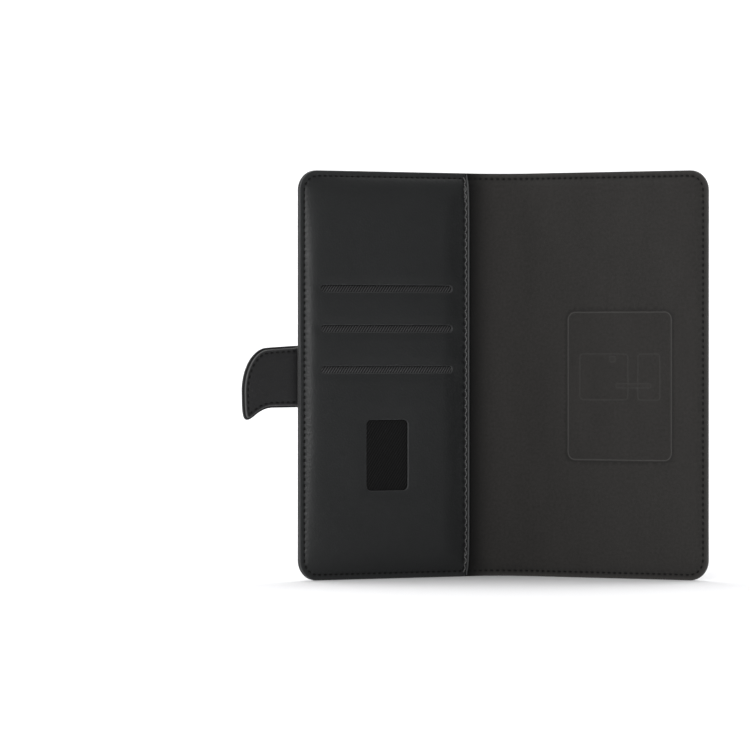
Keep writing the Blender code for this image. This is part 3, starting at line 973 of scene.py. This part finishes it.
# Each pocket cloth's height, the line it starts from by the spine, how far it stays back from the
# fore-edge and the lower edge, and its upper edge
WALL_INSET = 0.0050
DIVIDER_INSET = 0.0078
DIVIDER_START = HALF_SPINE + DIVIDER_INSET
DIVIDER_LIP = 0.0035
POCKET_CLOTHS = (
    ("cash_pocket_wall", 0.00242, MOUTH + 0.0006, WALL_INSET, HEIGHT - 0.0045),
    ("middle_card_divider", 0.00285, DIVIDER_START, DIVIDER_INSET, SLOT_HEIGHTS[1] + DIVIDER_LIP),
    ("lower_card_divider", 0.00330, DIVIDER_START, DIVIDER_INSET, SLOT_HEIGHTS[2] + DIVIDER_LIP),
)
CLOTH_SPACING = 0.0015
CLOTH_CLEARANCE = 0.00025
CLOTH_STEP = 0.0002
SLACK = 0.00003
HEM = (0.0012, 0.0018)
HEM_RISE = 0.00007
PAINTED_SHADE_START = (0.0110, 0.0120)


def pocket_cloths():
    """The twill sheets in the pockets, each a little slack, with a turned upper edge.

    The lowest is painted nearly black below a strip along its top, a painted shade for the deep pocket behind the
    window.
    """
    for i, (node_name, height, near, inset, upper) in enumerate(POCKET_CLOTHS):
        far = REACH - inset
        size = (far - near, upper - inset)
        outline = RoundedBox((-(near + far) / 2, inset + size[1] / 2), size, 0.0005)
        rows = [outline.loop(row, CLOTH_SPACING) for row in CLOTH_EDGE_ROWS]
        rows += [slot.loop(row, CLOTH_SPACING) for slot in SLOTS for row in (-0.0004, 0, 0.0005)]
        rows = [row[outline.depth(row) > 0] for row in rows]
        filled = triangulate(
            [outline.loop(0, CLOTH_SPACING)],
            rows,
            lambda flat, shape=outline: shape.depth(flat) > 0,
            spacing=0.0022,
        )
        flat = filled[0]
        slack = SLACK * (np.sin(flat[:, 0] * 310 + i) + np.sin(flat[:, 1] * 230 + 2 * i))
        room = face_top(flat) - (FACE[1] - FACE[0]) - CLOTH - CLOTH_CLEARANCE
        low = slack + np.minimum(height, room - CLOTH_STEP * (2 - i))
        below_top = upper - flat[:, 1]
        hem = HEM_RISE * (1 - smooth(below_top, *HEM))
        # Painted shade: the lowest sheet goes nearly black below its top strip, for the deep pocket behind the
        # window
        shaded = 0.9 * smooth(below_top, *PAINTED_SHADE_START) * (node_name == "lower_card_divider")
        # Painted shadow just under each slot's upper edge
        for slot in SLOTS:
            above_slot = flat[:, 1] - slot.centre[1] - slot.half[1]
            shaded = np.maximum(shaded, hollow(above_slot, *SLOT_SHADE))
        painted_highlight = np.zeros(len(flat))
        piece = sheet(node_name + "_cloth", filled, low - hem, low + CLOTH + hem, painted_highlight, shaded)
        dress(piece, TWILL, "twill", node_name)
        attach(piece, "front_cover")


def seam_bed(flat):
    """The inside of the case, where the edge stitches lie sunk in it."""
    return inner_surface(flat) - THREAD_BED


def seam_threads():
    """The stitches round both covers, inside and outside, and along the pocket's mouth."""
    for side, name in ((FRONT, "front"), (BACK, "back")):
        for place, surface, facing, nodes in (
            ("inside", seam_bed, 1, (f"{name}_seam_thread",)),
            ("outside", level(THREAD_BED), -1, ()),
        ):
            runs = stitches(EDGE_SEAMS[side].holes, surface, facing)
            piece = thread_mesh(f"{name}_seam_{place}", runs, THREAD_RADIUS)
            dress(piece, THREAD, "thread", *nodes)
            bend_over(piece, side)
    runs = stitches(MOUTH_SEAM_LINE.holes, face_top, 1, 1.05, MOUTH_THREAD_RADIUS, 0.0008)
    piece = thread_mesh("mouth_stitches", runs, MOUTH_THREAD_RADIUS)
    dress(piece, PALE_THREAD, "thread", "pocket_edge_thread")
    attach(piece, "front_cover")


# The closure tab


def tab_path():
    """The tab's free edge, from its upper root corner round the hook to its lower one.

    Each knot has a point, and where its curve's handles arrive and leave.
    """
    knots = (
        ((0.0130, 0.0925), None, (0.0193, 0.0920)),
        ((0.0240, 0.0742), (0.0244, 0.0840), (0.0239, 0.0697)),
        ((0.0220, 0.0640), (0.0240, 0.0642), (0.0195, 0.0637)),
        ((0.0105, 0.0687), (0.0168, 0.0687), None),
    )
    points = [(0.0, TAB_ROOT[1])]
    for (start, _, leave), (end, arrive, _) in zip(knots, knots[1:]):
        span = [Vector(point) for point in (start, leave, arrive, end)]
        points += [tuple(point) for point in interpolate_bezier(*span, 24)[:-1]]
    points += [knots[-1][0], (0.0, TAB_ROOT[0])]
    return np.array([(-REACH - out, z) for out, z in points])


def tab_outlines():
    """The outlines of the inner leather, which ends under the cover, and of the outer leather."""
    path = resample(tab_path(), TAB_SPACING)
    rim = resample(shift(path, TAB_BORDER), TAB_SPACING)
    tuck, shoulder = (0.0010, 0), (0.0028, 0)
    under = np.array([rim[-1], rim[-1] + tuck, rim[0] + tuck, rim[0]])
    inner = np.concatenate([rim, resample(under, TAB_SPACING)[1:-1]])
    low, high = ANCHOR_SIDES
    neck = -REACH + 0.0032
    corner = -REACH + ANCHOR_REACH - ANCHOR_RADIUS
    root = np.concatenate([
        [path[-1], path[-1] + shoulder, (neck, low)],
        arc((corner, low + ANCHOR_RADIUS), ANCHOR_RADIUS, -90, 0, 0.0006),
        arc((corner, high - ANCHOR_RADIUS), ANCHOR_RADIUS, 0, 90, 0.0006),
        [(neck, high), path[0] + shoulder, path[0]],
    ])
    outer = np.concatenate([path, resample(root, TAB_SPACING)[1:-1]])
    return Polygon(inner), Polygon(outer)


def anchor_seam():
    """Three sides of a box, open towards the fore-edge."""
    low, high = ANCHOR_SIDES
    centre = (-REACH + (ANCHOR_START + ANCHOR_REACH) / 2, (low + high) / 2)
    size = (ANCHOR_REACH - ANCHOR_START, high - low)
    loop = RoundedBox(centre, size, ANCHOR_RADIUS).loop(ANCHOR_SEAM_INSET, 0.0004)
    fore = -REACH + ANCHOR_START + ANCHOR_SEAM_INSET
    start = next(i for i in range(len(loop)) if loop[i, 0] > fore and loop[i - 1, 0] <= fore)
    rolled = np.roll(loop, -start, axis=0)
    return Seam(rolled[rolled[:, 0] > fore], SEAM_PITCH)


TAB_INNER_OUTLINE, TAB_OUTER_OUTLINE = tab_outlines()
TAB_SEAM = Seam(shift(tab_path(), TAB_SEAM_INSET), SEAM_PITCH)
ANCHOR_SEAM = anchor_seam()


def clip_loop(points, split, side):
    """The part of a closed outline on one side of p = split, closed along that line."""
    kept = (points[:, 0] - split) * side > 0
    first = next(i for i in range(len(points)) if kept[i] and not kept[i - 1])
    rolled = np.roll(points, -first, axis=0)
    count = kept.sum()
    crossings = []
    for a, b in ((rolled[-1], rolled[0]), (rolled[count - 1], rolled[count])):
        share = (split - a[0]) / (b[0] - a[0])
        crossings.append(a + share * (b - a))
    enter, leave = crossings
    closing = resample(np.array([leave, enter]), TAB_SPACING)[1:-1]
    return np.concatenate([[enter], rolled[:count], [leave], closing])


def tab_rim(depth, out):
    """1 in the rim where the tab's two leathers meet, and 0 over its core and at its root."""
    return (1 - smooth(depth, *TAB_RIM)) * smooth(out, *TAB_RIM_START)


def tab_inner_heights(flat):
    """The inner leather's lower and upper face, its painted highlight share and its painted shade."""
    depth = TAB_INNER_OUTLINE.depth(flat)
    rim = tab_rim(depth, -REACH - flat[:, 0])
    low = TAB_INNER[0] + (TAB_MEETING - TAB_INNER[0]) * rim
    high = TAB_INNER[1] + 0.0001 * smooth(depth, 0.0024, 0.0045) - TAB_SEAM.sink(flat)
    fallen = round_off(depth, radius=0.0003)
    # Painted highlight along the rounded edge, and painted shade in the stitch beds
    painted_highlight = hollow(depth, *LEATHER_EDGE_PALE)
    return low + fallen * 0.2, high - fallen, painted_highlight, TAB_SEAM.shade(flat)


def tab_outer_heights(flat):
    """The same for the outer leather: flat on the cover at its root, then out behind the core."""
    depth = TAB_OUTER_OUTLINE.depth(flat)
    out = -REACH - flat[:, 0]
    away = smooth(out, -0.0020, 0.0008)
    low = ANCHOR[0] + (TAB_OUTER[0] - ANCHOR[0]) * away
    high = ANCHOR[1] + (TAB_OUTER[1] - ANCHOR[1]) * away
    high += (TAB_MEETING - 0.00003 - TAB_OUTER[1]) * tab_rim(depth, out)
    outside = smooth(out, 0.0, 0.0010)
    sunk = TAB_SEAM.sink(flat) * outside + ANCHOR_SEAM.sink(flat)
    # Painted shade in the stitch beds
    shaded = np.maximum(TAB_SEAM.shade(flat) * outside, ANCHOR_SEAM.shade(flat))
    fallen = round_off(depth, radius=0.0004)
    return low + fallen + sunk, high - fallen * 0.2, np.zeros(len(flat)), shaded


def tab_bend(piece):
    """Bakes a tab piece's placement into its mesh."""
    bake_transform(piece)


def tab_leathers():
    """Both layers of the tab, each in two pieces that meet half-way along the strap."""
    split = -REACH - TAB_SPLIT
    layers = (
        ("inner", TAB_INNER_OUTLINE, tab_inner_heights, [TAB_SEAM], ()),
        ("outer", TAB_OUTER_OUTLINE, tab_outer_heights, [TAB_SEAM, ANCHOR_SEAM], ("tab_anchor",)),
    )
    parts = ((1, "strap", "tab_strap_core"), (-1, "tip", "tab_magnet"))
    for layer, outline, heights, seams, root_nodes in layers:
        rows = [outline.loop(inset) for inset in LEATHER_EDGE_ROWS]
        rows += [row for seam in seams for row in seam.rows]
        for side, part, core in parts:

            def inside(flat, outline=outline, side=side):
                return (outline.depth(flat) > 0) & ((flat[:, 0] - split) * side > 0)

            near = [row[(row[:, 0] - split) * side > 0.0001] for row in rows]
            near = [row for row in near if len(row)]
            loop = clip_loop(outline.points, split, side)
            filled = triangulate([loop], near, inside, spacing=0.0008)
            piece = sheet(f"tab_{layer}_leather_{part}", filled, *heights(filled[0]))
            nodes = (f"tab_{part}_{layer}_leather", *(root_nodes if part == "strap" else ()))
            dress(piece, OUTER, "outer_leather", *nodes)
            tab_bend(piece)


def tab_threads():
    """The tab's stitches, seen on both of its faces, and those of its sewn root."""
    split = -REACH - TAB_SPLIT
    runs = stitches(TAB_SEAM.holes, level(TAB_INNER[1] - THREAD_BED), 1)
    runs += stitches(TAB_SEAM.holes, level(TAB_OUTER[0] + THREAD_BED), -1)
    for part, side, nodes in (
        ("strap", 1, ("tab_strap_upper_thread", "tab_strap_lower_thread")),
        ("tip", -1, ("tab_tip_thread",)),
    ):
        kept = [run for run in runs if (run[STITCH_POINTS // 2, 0] - split) * side > 0]
        piece = thread_mesh(f"tab_stitches_{part}", kept, THREAD_RADIUS)
        dress(piece, THREAD, "thread", *nodes)
        tab_bend(piece)
    runs = stitches(ANCHOR_SEAM.holes, level(ANCHOR[0] + THREAD_BED), -1)
    piece = thread_mesh("tab_root_stitches", runs, THREAD_RADIUS)
    dress(piece, THREAD, "thread", "tab_anchor_thread")
    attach(piece, "front_cover")


# The studio

CAMERA_PLACE = Vector((SPINE_X - 0.0509, BACK_HINGE.y - 1.985, 0.0936))
CAMERA_LENS = 235.4
CAMERA_DIP = math.radians(0.3515)
PAPER_REACH = 4.0
PAPER_BACK = 1.3
PAPER_BEND = 0.7
PAPER_STEPS = 24
WORLD_STRENGTH = 0.4


def camera():
    data = bpy.data.cameras.new("camera")
    data.lens = CAMERA_LENS
    data.clip_end = 50
    made = bpy.data.objects.new("camera", data)
    made.location = CAMERA_PLACE
    made.rotation_euler = (math.radians(90) - CAMERA_DIP, 0, 0)
    bpy.context.scene.collection.objects.link(made)
    bpy.context.scene.camera = made


def paper():
    """A pale floor that curves up behind the case."""
    shape = bmesh.new()
    profile = [(-PAPER_REACH, 0.0)]
    for i in range(PAPER_STEPS + 1):
        angle = math.radians(90 * i / PAPER_STEPS)
        back = PAPER_BACK + PAPER_BEND * math.sin(angle)
        profile.append((back, PAPER_BEND * (1 - math.cos(angle))))
    profile.append((PAPER_BACK + PAPER_BEND, PAPER_REACH))
    rows = [[shape.verts.new((x, y, z)) for y, z in profile] for x in (-PAPER_REACH, PAPER_REACH)]
    for i in range(len(profile) - 1):
        shape.faces.new((rows[0][i], rows[1][i], rows[1][i + 1], rows[0][i + 1]))
    mesh = bpy.data.meshes.new("paper")
    shape.to_mesh(mesh)
    shape.free()
    mesh.shade_smooth()
    made = bpy.data.objects.new("paper", mesh)
    bpy.context.scene.collection.objects.link(made)
    pale = new_material("pale_paper", Base_Color=(0.93, 0.93, 0.94, 1), Roughness=0.9)
    mesh.materials.append(pale)


def softbox(name, place, target, size, power):
    data = bpy.data.lights.new(name, "AREA")
    data.shape = "RECTANGLE"
    data.size, data.size_y = size
    data.energy = power
    made = bpy.data.objects.new(name, data)
    made.location = place
    direction = Vector(target) - Vector(place)
    made.rotation_euler = direction.to_track_quat("-Z", "Y").to_euler()
    bpy.context.scene.collection.objects.link(made)


def studio():
    paper()
    softbox("overhead", (0, 0.9, 2.2), (0, 0.6, 0), size=(3.0, 1.8), power=37)
    softbox("paper_light", (0, 0.9, 2.2), (0, 2.0, 0.5), size=(3.5, 0.8), power=14)
    softbox("key", (-0.35, -2.2, 0.6), (0, 0, 0.08), size=(0.5, 0.5), power=28)
    softbox("left", (-2.0, -0.6, 0.5), (0, 0, 0.08), size=(0.6, 0.6), power=8)
    world = bpy.data.worlds.new("studio")
    world.use_nodes = True
    background = world.node_tree.nodes["Background"]
    background.inputs["Color"].default_value = (1, 1, 1, 1)
    background.inputs["Strength"].default_value = WORLD_STRENGTH
    bpy.context.scene.world = world
    bpy.context.scene.view_settings.view_transform = "Standard"


def carried_nodes():
    """The pieces inside keep their CAD shape and get a finished material."""
    slots = {part["node"]: part["material_slot"] for part in frame["record"]["subparts"]}
    for name, made in frame["nodes"].items():
        if not made.hide_render:
            made.data.materials.clear()
            made.data.materials.append(INSERTS[slots[name]])


outer_leathers()
linings()
card_panel()
piping()
pocket_cloths()
seam_threads()
tab_leathers()
tab_threads()
carried_nodes()
camera()
studio()
